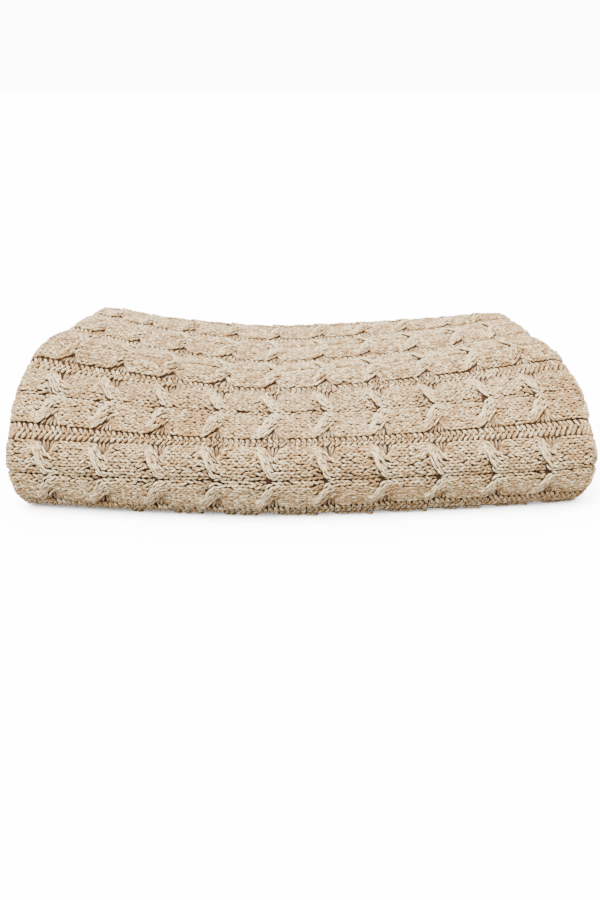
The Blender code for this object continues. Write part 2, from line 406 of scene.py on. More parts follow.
class Stack:
    """Carries places in the knitting to places in space.

    u runs along the cables: it is x on the middle third of the panel, and goes on past the end
    folds. run is the arc length across the cables, 0 in the middle of the lowest cable."""

    NAMES = ("y", "z", "inward_y", "inward_z", "pitch", "height", "left", "right")

    def __init__(self):
        self.xs = np.linspace(LEFT_TURN, RIGHT_TURN, COLUMNS)
        self.runs = np.arange(RUN_FIRST, RUN_LAST, RUN_STEP)
        tables = {name: [] for name in self.NAMES}
        first = []
        last = []
        folds = []
        for x in self.xs:
            section = Section(x)
            for name in ("y", "z", "inward_y", "inward_z"):
                tables[name].append(np.interp(self.runs, section.run, getattr(section, name)))
            tables["pitch"].append(section.pitch(tables["y"][-1]))
            tables["height"].append(np.full(len(self.runs), MIDDLE.height + section.rise))
            tables["left"].append(section.drawn_in(self.runs, "left"))
            tables["right"].append(section.drawn_in(self.runs, "right"))
            first.append(section.run[0])
            last.append(section.run[-1])
            folds.append((section.ends["floor"], section.ends["back fold"]))
        self.tables = {name: np.array(rows) for name, rows in tables.items()}
        self.first = np.array(first)
        self.last = np.array(last)
        self.folds = np.array(folds)

    def look_up(self, x, run):
        """All tables at these places, read between their nearest four entries."""
        across = (x - self.xs[0]) / (self.xs[1] - self.xs[0])
        column = np.clip(across.astype(int), 0, COLUMNS - 2)
        across = across - column
        down = (run - RUN_FIRST) / RUN_STEP
        row = np.clip(down.astype(int), 0, len(self.runs) - 2)
        down = np.clip(down - row, 0, 1)
        found = []
        for name in self.NAMES:
            table = self.tables[name]
            near = table[column, row] * (1 - down) + table[column, row + 1] * down
            far = table[column + 1, row] * (1 - down) + table[column + 1, row + 1] * down
            found.append(near * (1 - across) + far * across)
        return found

    def turn_radius(self, u, pitch):
        """Radius of the end fold's middle layer: the left one holds one flap, the right two."""
        return np.where(u < 0, 0.5, 1.0) * pitch

    def layer(self, u, run, height, depth):
        """As face, from the middle of a layer this many layers under the outer one."""
        u, run, height = np.broadcast_arrays(np.asarray(u, float), run, height)
        pitch = self.look_up(np.clip(u, LEFT_TURN, RIGHT_TURN), run)[4]
        return self.face(u, run, height - SHEET / 2 - depth * pitch)

    def flap(self, u, run, height):
        """As face, on the inward side of the second flap."""
        points, outward = self.layer(u, run, -SHEET / 2 - height, 2)
        return points, -outward

    def edge(self, u, inset, height, depth, inner):
        """As layer, this far in from a free edge: the one inside the stack or the one on the floor."""
        u, inset, height = np.broadcast_arrays(np.asarray(u, float), inset, height)
        ends = np.interp(u, self.xs, self.last if inner else self.first)
        inside = np.maximum(inset, 0)
        points, outward = self.layer(u, ends - inside if inner else ends + inside, height, depth)
        points[..., 1] += np.maximum(-inset, 0)
        return points, outward

    def face(self, u, run, height):
        """Points at this height over the outer face, and the outward directions there."""
        u, run, height = np.broadcast_arrays(np.asarray(u, float), run, height)
        x = np.clip(u, LEFT_TURN, RIGHT_TURN)
        run = run - slack(x, run)
        y, z, inward_y, inward_z, pitch, top, left, right = self.look_up(x, run)
        length = np.hypot(inward_y, inward_z)
        inward_y = inward_y / length
        inward_z = inward_z / length
        radius = self.turn_radius(u, pitch)
        angle = np.minimum(np.abs(u - x) / (radius + SHEET / 2 + TURN_SPARE), math.pi)
        side = np.sign(u - x)
        inset = SHEET / 2 + radius
        reach = inset + height
        turned_in = inset - reach * np.cos(angle)
        out = side * reach * np.sin(angle)
        point_y = y + turned_in * inward_y
        point_z = z + turned_in * inward_z
        drawn = np.where(u < 0, left, right)
        tuck = END_TUCK * (2 * point_z / top - 1) ** 2 + drawn
        behind = smooth((point_y - BACK_TUCK_FROM) / (BACK_TUCK_TO - BACK_TUCK_FROM))
        tuck += np.where(u < 0, BACK_TUCK_LEFT, BACK_TUCK_RIGHT) * behind
        near_end = smooth(1 - (HALF_WIDTH - np.abs(x)) / TUCK_REACH)
        point_x = x + out - np.sign(u) * tuck * near_end
        points = np.stack([point_x, point_y - STACK_MIDDLE, point_z], axis=-1)
        outward = np.stack(
            [
                side * np.sin(angle),
                -inward_y * np.cos(angle),
                -inward_z * np.cos(angle),
            ],
            axis=-1,
        )
        return points, outward


# The cable pattern

def changed(c, share, shift):
    """How far a strand has changed places at c periods from a crossing, 0 to 1.

    share is 0 at the strand's edge nearest the cable's middle and 1 at its other edge."""
    centre = shift.inner + (shift.outer - shift.inner) * share
    reach = shift.inner_reach + (shift.outer_reach - shift.inner_reach) * share
    return smooth((c - centre) / reach + 0.5)


def crowded(c):
    """How far the border between the strands is pushed outwards before the crossing."""
    return CROWDING * np.exp(-(((c - CROWDED_AT) / CROWDED_REACH) ** 2))


def over_place(c, share):
    """Where the upper strand lies, 0 in the cable's middle and 1 at its edge."""
    moved = 0.5 * changed(c, share, OVER)
    return 0.5 + 0.5 * share - moved + (1 - share) * crowded(c)


def under_place(c, share):
    moved = 0.5 * changed(c, share, UNDER)
    return 0.5 * share + moved + share * crowded(c)


def cable_edge(c):
    """Half the cable's width here, as a share of its full half width: it is pinched at crossings."""
    return np.maximum(over_place(c, 1.0), under_place(c, 1.0))


def lifted(c, share):
    """Share of the upper strand's lift: most along its inner side."""
    along = smooth((c + 0.36) / 0.20) * smooth((0.24 - c) / 0.26)
    return along * (1 - OVER_SLOPE * share**2)


def sunk(c):
    """Share of the drop of the strand that passes under."""
    return smooth((c + 0.24) / 0.12) * smooth((0.22 - c) / 0.20)


def relief_left(u):
    """Share of the cables' relief that is left here: they are stretched round the end folds."""
    beyond = np.where(u < 0, LEFT_TURN - u, u - RIGHT_TURN)
    return 1 - END_FLATTENING * smooth(1 + beyond / FLATTENING_REACH)


def crown(cable, u):
    """How much higher this cable's middle lies than its edges."""
    return np.where(cable < 2, FRONT_CROWN, TOP_CROWN) * relief_left(u)


def over_lift(cable, u):
    """How high a crossing's upper strand rises, less on the back where the silhouette is smooth."""
    return OVER_LIFT * (1 - 0.25 * np.clip(cable - 3, 0, 2)) * relief_left(u)


def under_drop(cable, u):
    """How deep the lower strand sinks, less on the top where nothing stretches the knitting."""
    return np.where(cable < 2, UNDER_DROP, 0.4 * UNDER_DROP) * relief_left(u)


def pillow(cable, u, c, place):
    """Height of the knitting across a cable, low at its edges and in the groove in its middle."""
    inside = np.clip(np.abs(place) / cable_edge(c), 0, 1)
    swollen = (1 - inside**2.6) * (1 - PUFF * np.cos(2 * math.pi * c))
    groove = GROOVE * np.exp(-((place / 0.08) ** 2))
    return KNIT_EDGE + crown(cable, u) * swollen - groove


def from_crossing(u):
    """Distance to the nearest crossing, in periods, from -0.5 to 0.5."""
    along = (u - CROSS_START) / CROSS_PITCH
    return along - np.round(along)


def ground_relief(u, run):
    """How far the ground rises to follow the cables."""
    c = from_crossing(u)
    across = run / CABLE_PITCH
    cable = np.round(across)
    place = (across - cable) * CABLE_PITCH / half_width(u)
    inside = np.abs(place) < cable_edge(c)
    low = over_place(c, 0.0)
    share = (np.abs(place) - low) / (over_place(c, 1.0) - low)
    covered = (share > 0) & (share < 1)
    lift = over_lift(cable, u) * lifted(c, np.clip(share, 0, 1))
    shift = np.where(covered, lift, -under_drop(cable, u) * sunk(c))
    height = pillow(cable, u, c, place) - GROUND_BELOW + shift
    return np.where(inside, np.clip(height, 0, None), 0.0)


class Yarn:
    """Short plump lengths of yarn, gathered and then made into one mesh."""

    SIDES = 5
    RINGS = (0.18, 0.5, 0.82)
    FULLNESS = (0.86, 1.0, 0.82)

    def __init__(self, seed, marl=1.0):
        self.chance = np.random.default_rng(seed)
        self.marl = marl
        self.points = []
        self.faces = []
        self.tones_and_painted_light = []
        self.flecks_and_painted_light = []
        self.around = []
        self.along = []
        self.count = 0

    def lay(self, centres, outward, radius, tone_and_painted_light, painted_light_and_tan=0.0, dim=0.0):
        """Adds one length for each row of five centre points, with painted shade on its underside and,
        by dim, towards its last.
        """
        above = centres[:, 2, 2] > FLOOR_SPARE
        number = int(above.sum())
        if number == 0:
            return
        radius, tone_and_painted_light, painted_light_and_tan = (
            np.broadcast_to(values, (len(centres),))[above] for values in (radius, tone_and_painted_light, painted_light_and_tan)
        )
        centres = centres[above]
        outward = outward[above]
        radius = radius * (1 + RADIUS_JITTER * self.chance.standard_normal(number))
        fleck_and_painted_light = self.marl * (self.chance.random(number) - 0.5) + 0.5
        # Painted highlight makes a length paler; negative values make it more tan, painted shade at
        # the right end.
        fleck_and_painted_light = fleck_and_painted_light * (1 - painted_light_and_tan) - painted_light_and_tan
        travel = np.gradient(centres, axis=1)
        travel /= np.linalg.norm(travel, axis=-1, keepdims=True) + TINY
        side = np.cross(travel, outward)
        side /= np.linalg.norm(side, axis=-1, keepdims=True) + TINY
        up = np.cross(side, travel)
        angles = 2 * math.pi * np.arange(self.SIDES) / self.SIDES - math.pi / 2
        rings = []
        for ring, fullness in enumerate(self.FULLNESS):
            middle = centres[:, ring + 1]
            reach = (radius * fullness)[:, None, None]
            spread = side[:, ring + 1][:, None, :] * np.cos(angles)[None, :, None]
            spread = spread + up[:, ring + 1][:, None, :] * np.sin(angles)[None, :, None]
            rings.append(middle[:, None, :] + reach * spread)
        tips = centres[:, [0, 4]]
        points = np.concatenate([tips] + rings, axis=1)
        self.points.append(points.reshape(-1, 3))
        # Painted shade: each point's tone falls with its height round the length, darkest underneath,
        # and towards the last end by dim.
        height = np.tile(np.sin(angles), 3) * 0.5 + 0.5
        height = np.concatenate([[TIP_HEIGHT, TIP_HEIGHT], height])
        around = np.concatenate([[0.5, 0.5], np.tile(np.arange(self.SIDES) / self.SIDES, 3)])
        along = np.concatenate([[0.0, 1.0], np.repeat(self.RINGS, self.SIDES)])
        shading = (PAINTED_SHADE_BELOW + (1 - PAINTED_SHADE_BELOW) * height) * (1 - dim * along)
        self.tones_and_painted_light.append((tone_and_painted_light[:, None] * shading[None, :]).ravel())
        self.flecks_and_painted_light.append(np.repeat(fleck_and_painted_light, points.shape[1]))
        self.around.append(np.tile(around, number))
        self.along.append(np.tile(along, number))
        faces = self.length_faces()
        starts = self.count + points.shape[1] * np.arange(number)
        self.faces.append((faces[None] + starts[:, None, None]).reshape(-1, 3))
        self.count += number * points.shape[1]

    def length_faces(self):
        """Triangles of one length: two tips at 0 and 1, then three rings."""
        faces = []
        for side in range(self.SIDES):
            after = (side + 1) % self.SIDES
            first = 2
            last = 2 + 2 * self.SIDES
            faces.append((0, first + side, first + after))
            faces.append((1, last + after, last + side))
            for ring in range(2):
                near = 2 + ring * self.SIDES
                far = near + self.SIDES
                faces.append((near + side, far + side, far + after))
                faces.append((near + side, far + after, near + after))
        return np.array(faces)

    def piece(self, name):
        """One object holding every length laid so far."""
        points = np.concatenate(self.points)
        points[:, 2] = np.maximum(points[:, 2], FLOOR_GAP)
        faces = np.concatenate(self.faces)
        mesh = bpy.data.meshes.new(name)
        mesh.vertices.add(len(points))
        mesh.vertices.foreach_set("co", points.astype(np.float32).ravel())
        mesh.loops.add(len(faces) * 3)
        mesh.loops.foreach_set("vertex_index", faces.astype(np.int32).ravel())
        mesh.polygons.add(len(faces))
        mesh.polygons.foreach_set("loop_start", np.arange(0, len(faces) * 3, 3, dtype=np.int32))
        mesh.update(calc_edges=True)
        mesh.polygons.foreach_set("use_smooth", np.ones(len(faces), bool))
        for label, values in (
            ("tone_and_painted_light", self.tones_and_painted_light),
            ("fleck_and_painted_light", self.flecks_and_painted_light),
            ("around", self.around),
            ("along", self.along),
        ):
            layer = mesh.attributes.new(label, "FLOAT", "POINT")
            layer.data.foreach_set("value", np.concatenate(values).astype(np.float32))
        piece = bpy.data.objects.new(name, mesh)
        bpy.context.scene.collection.objects.link(piece)
        return piece


# Laying the stitches

LEG_STEPS = np.linspace(0, 1, 5)
ARCH = np.sin(math.pi * LEG_STEPS) - 1


def in_sight(stack, u, run):
    """True on the nose, the top, the back fold and round the end folds."""
    x = np.clip(u, LEFT_TURN, RIGHT_TURN)
    near = np.round((x - stack.xs[0]) / (stack.xs[1] - stack.xs[0])).astype(int)
    near = np.clip(near, 0, COLUMNS - 1)
    inside = (run > stack.first[near] + EDGE_SPARE) & (run < stack.last[near] - EDGE_SPARE)
    after_floor = run > stack.folds[near, 0] - FLOOR_OVERLAP
    outer = after_floor & (run < stack.folds[near, 1] - BACK_SPARE)
    at_end = (u < LEFT_TURN + ROW) | (u > RIGHT_TURN - ROW)
    return inside & (outer | at_end)


def in_the_flap(stack, u, run):
    """True between the two free edges."""
    return (run > np.interp(u, stack.xs, stack.first)) & (run < np.interp(u, stack.xs, stack.last))


def lay_cable(yarn, stack, place_on, seen, cable, rows, settings):
    """The knit stitches of one double cable: two legs for each stitch, pointing right."""
    middles = CROSS_START + (rows + 0.5) * ROW
    crossings = np.round((rows + 0.5) / ROWS_PER_CROSSING)
    us = middles[:, None] + (LEG_STEPS - 0.5) * settings.leg_length * ROW
    cs = (us - CROSS_START) / CROSS_PITCH - crossings[:, None]
    spread = settings.leg_open + (settings.leg_closed - settings.leg_open) * smooth(LEG_STEPS)
    strands = itertools.product((-1, 1), (True, False), range(WALES_PER_STRAND), (-1, 1))
    for side, upper, wale, leg in strands:
        jitter = yarn.chance.normal(0, settings.unevenness, (len(rows), 4))
        share = (wale + 0.5 + leg * spread[None, :]) / WALES_PER_STRAND
        share = share + SHARE_JITTER * jitter[:, :1]
        if upper:
            place = over_place(cs, share)
            lift = lifted(cs, np.clip(share, 0, 1))
            height = over_lift(cable, us) * lift
            raising = lift.mean(axis=1)
            # Painted highlight: the raised upper strand is paler and brighter.
            painted_light_and_tan = PAINTED_HIGHLIGHT[wale] * raising
            radius = settings.yarn_radius * (1 - OVER_THINNING * raising)
            tone_and_painted_light = 1.0 + OVER_HIGHLIGHT * painted_light_and_tan
        else:
            place = under_place(cs, share)
            drop = sunk(cs)
            height = -under_drop(cable, us) * drop
            painted_light_and_tan = 0.0 * middles
            radius = settings.yarn_radius + 0.0 * middles
            # Painted shade: the lower strand is dimmer where it sinks under the crossing.
            tone_and_painted_light = 1.0 - (FRONT_UNDER_DIM if cable < 2 else TOP_UNDER_DIM) * drop.mean(axis=1)
        height = height + pillow(cable, us, cs, place) + settings.leg_arch * ARCH
        height = height + LIFT_JITTER * jitter[:, 1:2]
        place = MIDLINE_GAP + (1 - MIDLINE_GAP) * place
        run = cable * CABLE_PITCH + side * place * half_width(us)
        slid = us + SLIDE_JITTER * ROW * jitter[:, 3:]
        shown = seen(stack, middles, run[:, 2])
        points, outward = place_on(slid[shown], run[shown], height[shown])
        tone_and_painted_light = tone_and_painted_light + (SHADE_JITTER if cable < 2 else TOP_SHADE_JITTER) * jitter[:, 2]
        # Painted shade at the right end, as more tan yarn.
        painted_light_and_tan = painted_light_and_tan - tan_and_painted_shade(cable, middles)
        yarn.lay(points, outward, radius[shown], tone_and_painted_light[shown], painted_light_and_tan[shown])


def lay_channel(yarn, stack, place_on, seen, cable, rows, settings):
    """The purl strokes on both sides of one cable, pointing right, and one more between them."""
    middles = CROSS_START + (rows + 0.5) * ROW
    widened = 1 + PURL_WIDENING * np.clip(end_share(middles), 0, 1)
    thick = settings.yarn_radius * settings.purl_fullness * widened
    for side in (-1, 1, 0):
        jitter = yarn.chance.normal(0, settings.unevenness, (len(rows), 4))
        if side:
            us = middles[:, None] + (0.5 - 0.95 * LEG_STEPS + 0.1 * jitter[:, :1]) * ROW
            across = side * (CABLE_PITCH / 2 + (half_width(us) - CABLE_PITCH / 2) * LEG_STEPS)
        else:
            thick = thick * (MIDDLE_PURL + (1 - MIDDLE_PURL) * np.clip(end_share(middles), 0, 1))
            us = middles[:, None] + (0.5 + 0.3 * LEG_STEPS + 0.1 * jitter[:, :1]) * ROW
            across = CABLE_PITCH / 2 + (CABLE_PITCH / 2 - half_width(us)) * 0.9 * (LEG_STEPS - 0.5)
        run = cable * CABLE_PITCH + across
        height = PURL + PURL_ARCH * ARCH + FINE_JITTER * jitter[:, 1:2]
        shown = seen(stack, middles, run[:, 2])
        points, outward = place_on(us[shown], run[shown], height[shown])
        # Painted shade: the purl strokes are a little darker than the knit; the tan at the right end
        # is painted shade too.
        tone_and_painted_light = PURL_TONE + SHADE_JITTER * jitter[:, 2]
        yarn.lay(points, outward, thick[shown], tone_and_painted_light[shown], -tan_and_painted_shade(cable, middles[shown]))


def lay_wedges(yarn, stack, place_on, seen, cable, rows, settings):
    """Long purl strokes that run together to a point beside each crossing."""
    crossings = np.unique(np.round((rows + 0.5) / ROWS_PER_CROSSING))
    first = CROSS_START + (rows.min() - 1) * ROW
    last = CROSS_START + (rows.max() + 2) * ROW
    for side, stroke in itertools.product((-1, 1), WEDGE):
        jitter = yarn.chance.normal(0, settings.unevenness, (len(crossings), 3))
        cs = stroke.from_c + (stroke.to_c - stroke.from_c) * LEG_STEPS**0.8 + 0.012 * jitter[:, :1]
        us = CROSS_START + (crossings[:, None] + cs) * CROSS_PITCH
        place = stroke.from_place + (stroke.to_place - stroke.from_place) * LEG_STEPS
        run = cable * CABLE_PITCH + side * place[None, :] * half_width(us)
        height = PURL + WEDGE_ARCH * ARCH - WEDGE_ARCH * LEG_STEPS
        height = height[None, :] + FINE_JITTER * jitter[:, 1:2]
        shown = seen(stack, us[:, 2], run[:, 2]) & (us[:, 2] > first) & (us[:, 2] < last)
        points, outward = place_on(us[shown], run[shown], height[shown])
        # Painted shade: the wedge strokes are darker, and dimmer towards the wedge's tip.
        tone_and_painted_light = WEDGE_TONE + SHADE_JITTER * jitter[:, 2]
        yarn.lay(points, outward, settings.yarn_radius, tone_and_painted_light[shown], dim=WEDGE_DIM)


def lay_wale(yarn, place_on, across, height, rows, settings):
    """One line of knit stitches beside a free edge."""
    middles = CROSS_START + (rows + 0.5) * ROW
    us = middles[:, None] + (LEG_STEPS - 0.5) * settings.leg_length * ROW
    spread = settings.leg_open + (settings.leg_closed - settings.leg_open) * smooth(LEG_STEPS)
    for leg in (-1, 1):
        jitter = yarn.chance.normal(0, settings.unevenness, (len(rows), 3))
        inset = across + leg * spread[None, :] * WALE + FINE_JITTER * jitter[:, :1]
        lift = height + math.copysign(1, height) * settings.leg_arch * ARCH
        points, outward = place_on(us, inset, lift[None, :] + FINE_JITTER / 2 * jitter[:, 1:2])
        turned = outward * math.copysign(1, height)
        yarn.lay(points, turned, settings.yarn_radius, 1.0 + SHADE_JITTER * jitter[:, 2])


def chain_height(leg, jitter):
    """Height of one leg of the edge chain: its legs run together towards their closed end."""
    return leg * (CHAIN_OPEN - CHAIN_CLOSING * smooth(LEG_STEPS))[None, :] + FINE_JITTER * jitter


def lay_chain_leg(yarn, points, direction, outward, settings, jitter):
    """One leg of every stitch in an edge chain, seen from this direction."""
    facing = np.broadcast_to(np.array(direction), outward.shape)
    radius = settings.yarn_radius * CHAIN_FULLNESS
    yarn.lay(points, facing, radius, 1.0 + SHADE_JITTER * jitter)


def lay_edge_chain(yarn, place_on, rows, settings):
    """The chain of stitches that closes a free edge, seen from behind."""
    middles = CROSS_START + (rows + 0.5) * ROW
    us = middles[:, None] + (LEG_STEPS - 0.5) * settings.leg_length * ROW
    for leg in (-1, 1):
        jitter = yarn.chance.normal(0, settings.unevenness, (len(rows), 3))
        inset = -CHAIN_OUT - CHAIN_BULGE * (1 + ARCH)[None, :] + FINE_JITTER * jitter[:, 1:2]
        points, outward = place_on(us, inset, chain_height(leg, jitter[:, :1]))
        lay_chain_leg(yarn, points, (0.0, 1.0, 0.0), outward, settings, jitter[:, 2])


def lay_cast_off(yarn, stack, settings):
    """The chain of stitches along the second flap's edge, inside the left end fold."""
    first = np.interp(SECOND_FLAP_EDGE, stack.xs, stack.first)
    last = np.interp(SECOND_FLAP_EDGE, stack.xs, stack.last)
    middles = np.arange(first + WALE / 2, last - WALE / 2, WALE)
    runs = middles[:, None] + (LEG_STEPS - 0.5) * settings.leg_length * WALE
    for leg in (-1, 1):
        jitter = yarn.chance.normal(0, settings.unevenness, (len(runs), 3))
        xs = np.full(runs.shape, SECOND_FLAP_EDGE)
        points, outward = stack.layer(xs, runs, chain_height(leg, jitter[:, :1]), 2)
        points[..., 0] -= CHAIN_OUT + CHAIN_BULGE * (1 + ARCH)[None, :]
        lay_chain_leg(yarn, points, (-1.0, 0.0, 0.0), outward, settings, jitter[:, 2])


def tan_and_painted_shade(cable, u):
    """Painted shade at the right end, the side away from the light, as more tan yarn; more tan also
    left of the middle behind the front.
    """
    right = smooth((u - WARM_FROM) / (RIGHT_TURN - WARM_FROM))
    left = np.exp(-(((u - WARM_LEFT) / WARM_REACH) ** 2)) if 1 <= cable <= 3 else 0.0
    return WARMTH * (right + 0.6 * left)


def all_rows():
    """Every row of stitches from round the left end fold to round the right one."""
    first = math.floor((LEFT_TURN - LEFT_ROWS_BEYOND - CROSS_START) / ROW)
    last = math.ceil((RIGHT_TURN + RIGHT_ROWS_BEYOND - CROSS_START) / ROW)
    return np.arange(first, last)


# The ground under the stitches

FLAP_XS = (0.19, 0.14, 0.085, 0.05, 0.020, -0.030, -0.080, -0.11, -0.145, -0.19)
GroundRows = namedtuple("GroundRows", "stop rows")
LEFT_STEPS = 8  # steps of the ground round each end fold
RIGHT_STEPS = 12
LEFT_BARE = 3  # steps, counted from the flap, that look like bare knitting
RIGHT_BARE = 4


def ground_runs(section):
    """Arc lengths of the ground's rows at one place along the stack."""
    ends = section.ends
    stops = (
        GroundRows(section.run[0], 1),
        GroundRows(ends["floor"], 24),
        GroundRows(-CABLE_HALF, 4),
        GroundRows(4 * CABLE_PITCH + CABLE_HALF, 96),
        GroundRows(ends["back fold"], 16),
        GroundRows(ends["upper inner"], 10),
        GroundRows(ends["inner fold"], 14),
        GroundRows(ends["lower inner"], 12),
    )
    runs = [stops[0].stop]
    for before, after in zip(stops, stops[1:]):
        runs.extend(np.linspace(before.stop, after.stop, after.rows + 1)[1:])
    return np.array(runs)


def flap_column(stack, x, depth):
    """Middle of a folded-in flap, one or two layers under the outer one."""
    runs = ground_runs(Section(x))
    points, outward = stack.layer(np.full(len(runs), x), runs, 0.0, depth)
    return points, np.full(len(runs), x), runs


def ground_mesh(stack, name):
    """The folded sheet's middle: first flap, left turn, outer layer, right turn, second flap."""
    columns = [flap_column(stack, x, 1) for x in (FIRST_FLAP_EDGE,) + FLAP_XS]
    first_outer = len(columns)
    columns += turn_columns(stack, LEFT_TURN, LEFT_STEPS)[::-1]
    for x in np.linspace(LEFT_TURN, RIGHT_TURN, 152)[1:-1]:
        runs = ground_runs(Section(x))
        xs = np.full(len(runs), x)
        columns.append((raised(stack, xs, runs, 0.0), xs, runs))
    columns += turn_columns(stack, RIGHT_TURN, RIGHT_STEPS)
    last_outer = len(columns)
    columns += [flap_column(stack, x, 2) for x in FLAP_XS + (SECOND_FLAP_EDGE,)]
    points, us, runs = (np.array(part) for part in zip(*columns))
    count, rows = us.shape
    index = np.arange(count * rows).reshape(count, rows)
    quads = np.stack([index[:-1, :-1], index[1:, :-1], index[1:, 1:], index[:-1, 1:]], axis=-1)
    mesh = bpy.data.meshes.new(name)
    mesh.from_pydata(points.reshape(-1, 3).tolist(), [], quads.reshape(-1, 4).tolist())
    mesh.polygons.foreach_set("use_smooth", np.ones(len(mesh.polygons), bool))
    column = np.arange(count - 1)
    bare = (column < first_outer + LEFT_BARE) | (column >= last_outer - 1 - RIGHT_BARE)
    finish = np.repeat(np.where(bare, 1, 0), rows - 1)
    mesh.polygons.foreach_set("material_index", finish.astype(np.int32))
    for label, values in (("rows", us / ROW), ("wales", runs / WALE)):
        layer = mesh.attributes.new(label, "FLOAT", "POINT")
        layer.data.foreach_set("value", values.ravel().astype(np.float32))
    mesh.update()
    return mesh


def raised(stack, us, runs, angle):
    """Middle of the outer layer, raised under the cables where they are in sight."""
    shown = smooth((runs + 0.55 * CABLE_PITCH) / 0.01) * smooth((4.95 * CABLE_PITCH - runs) / 0.02)
    shown = np.maximum(shown, smooth(2 * angle - 1)) * smooth((math.pi - angle) / 0.8)
    height = ground_relief(us, runs) * shown - SHEET / 2
    points, outward = stack.face(us, runs, height)
    return points


def turn_columns(stack, centre, steps):
    """The outer layer round an end fold, from its start to its end."""
    runs = ground_runs(Section(centre))
    xs = np.full(len(runs), centre)
    pitch = stack.look_up(xs, runs)[4]
    columns = []
    for step in range(steps + 1):
        angle = math.pi * step / steps
        along = angle * (stack.turn_radius(xs, pitch) + SHEET / 2 + TURN_SPARE)
        us = xs + math.copysign(1, centre) * along
        columns.append((raised(stack, us, runs, angle), us, runs))
    return columns


# Materials

def node(tree, kind, label, **values):
    """One labelled node with the given properties or input values."""
    made = tree.nodes.new(kind)
    made.label = label
    for key, value in values.items():
        if hasattr(made, key):
            setattr(made, key, value)
        else:
            made.inputs[key.replace("_", " ")].default_value = value
    return made


def group(name, inputs, outputs):
    """An empty shader node group with named sockets: (name, type, default)."""
    tree = bpy.data.node_groups.new(name, "ShaderNodeTree")
    for label, kind, default in inputs:
        socket = tree.interface.new_socket(label, in_out="INPUT", socket_type=kind)
        socket.default_value = default
    for label, kind in outputs:
        tree.interface.new_socket(label, in_out="OUTPUT", socket_type=kind)
    start = tree.nodes.new("NodeGroupInput")
    end = tree.nodes.new("NodeGroupOutput")
    return tree, start, end


def mixed(tree, label, factor, first, second):
    """A colour mix of two outputs; returns its colour output."""
    mix = node(tree, "ShaderNodeMix", label, data_type="RGBA")
    tree.links.new(factor, mix.inputs["Factor"])
    tree.links.new(first, mix.inputs[6])
    tree.links.new(second, mix.inputs[7])
    return mix.outputs[2]


def ranged(tree, label, value, low, high):
    """value mapped so that low becomes 0 and high becomes 1."""
    made = node(tree, "ShaderNodeMapRange", label, From_Min=low, From_Max=high)
    tree.links.new(value, made.inputs["Value"])
    return made.outputs["Result"]


def maths(tree, label, operation, *values):
    """A math node on outputs or plain numbers."""
    made = node(tree, "ShaderNodeMath", label, operation=operation)
    for socket, value in zip(made.inputs, values):
        if isinstance(value, (int, float)):
            socket.default_value = value
        else:
            tree.links.new(value, socket)
    return made.outputs["Value"]


def attribute(tree, label, name):
    return node(tree, "ShaderNodeAttribute", label, attribute_name=name).outputs["Fac"]


def marled_colour_group():
    """Marled yarn: cream and tan fibres with a few brown ones, with painted shade in the depths."""
    tree, start, end = group(
        "Marled Yarn",
        (
            ("Light", "NodeSocketColor", (0.80, 0.70, 0.57, 1)),
            ("Tan", "NodeSocketColor", (0.52, 0.36, 0.21, 1)),
            ("Brown", "NodeSocketColor", (0.30, 0.17, 0.08, 1)),
            ("Deep", "NodeSocketColor", (0.16, 0.085, 0.04, 1)),
            ("Streak", "NodeSocketFloat", 0.5),
            ("Depth", "NodeSocketFloat", 1.0),
        ),
        (("Color", "NodeSocketColor"), ("Height", "NodeSocketFloat")),
    )
    place = node(tree, "ShaderNodeTexCoord", "Place on the throw").outputs["Object"]
    grain = {}
    for label, scale, detail in (
        ("Fibre flecks", 520.0, 3.0),
        ("Brown fibres", 800.0, 2.0),
        ("Uneven dyeing", 16.0, 2.0),
    ):
        noise = node(tree, "ShaderNodeTexNoise", label, Scale=scale, Detail=detail)
        tree.links.new(place, noise.inputs["Vector"])
        grain[label] = noise.outputs["Fac"]
    share = maths(tree, "Streak and flecks", "ADD", start.outputs["Streak"], grain["Fibre flecks"])
    share = maths(tree, "With uneven dyeing", "MULTIPLY_ADD", grain["Uneven dyeing"], 0.45, share)
    tan = ranged(tree, "Share of tan fibres", share, 1.10, 1.34)
    colour = mixed(tree, "Cream to tan", tan, start.outputs["Light"], start.outputs["Tan"])
    brown = ranged(tree, "Where brown fibres lie", grain["Brown fibres"], 0.54, 0.62)
    brown = maths(tree, "Thin brown fibres", "MULTIPLY", brown, 0.8)
    colour = mixed(tree, "With brown fibres", brown, colour, start.outputs["Brown"])
    # Painted shade: the Deep colour takes over where the Depth input is low.
    depth = ranged(tree, "Out of the depths", start.outputs["Depth"], 0.40, 0.88)
    colour = mixed(tree, "Painted shade in the depths", depth, start.outputs["Deep"], colour)
    tree.links.new(colour, end.inputs["Color"])
    height = maths(tree, "Streaks and fibres", "ADD", start.outputs["Streak"], grain["Fibre flecks"])
    tree.links.new(height, end.inputs["Height"])
    return tree


def woollen(name, settings, marl):
    """A matt woollen material whose colour comes from the marled yarn group."""
    material = bpy.data.materials.new(name)
    material.use_nodes = True
    tree = material.node_tree
    shader = tree.nodes["Principled BSDF"]
    colour = node(tree, "ShaderNodeGroup", "Marled yarn", node_tree=marl)
    colour.inputs["Light"].default_value = (*settings.light_yarn, 1)
    colour.inputs["Tan"].default_value = (*settings.tan_yarn, 1)
    colour.inputs["Brown"].default_value = (*settings.brown_yarn, 1)
    colour.inputs["Deep"].default_value = (*settings.depth_shade, 1)
    tree.links.new(colour.outputs["Color"], shader.inputs["Base Color"])
    shader.inputs["Roughness"].default_value = 0.92
    shader.inputs["Sheen Weight"].default_value = 0.2
    shader.inputs["Sheen Roughness"].default_value = 0.5
    shader.inputs["Specular IOR Level"].default_value = 0.2
    return material, tree, shader, colour


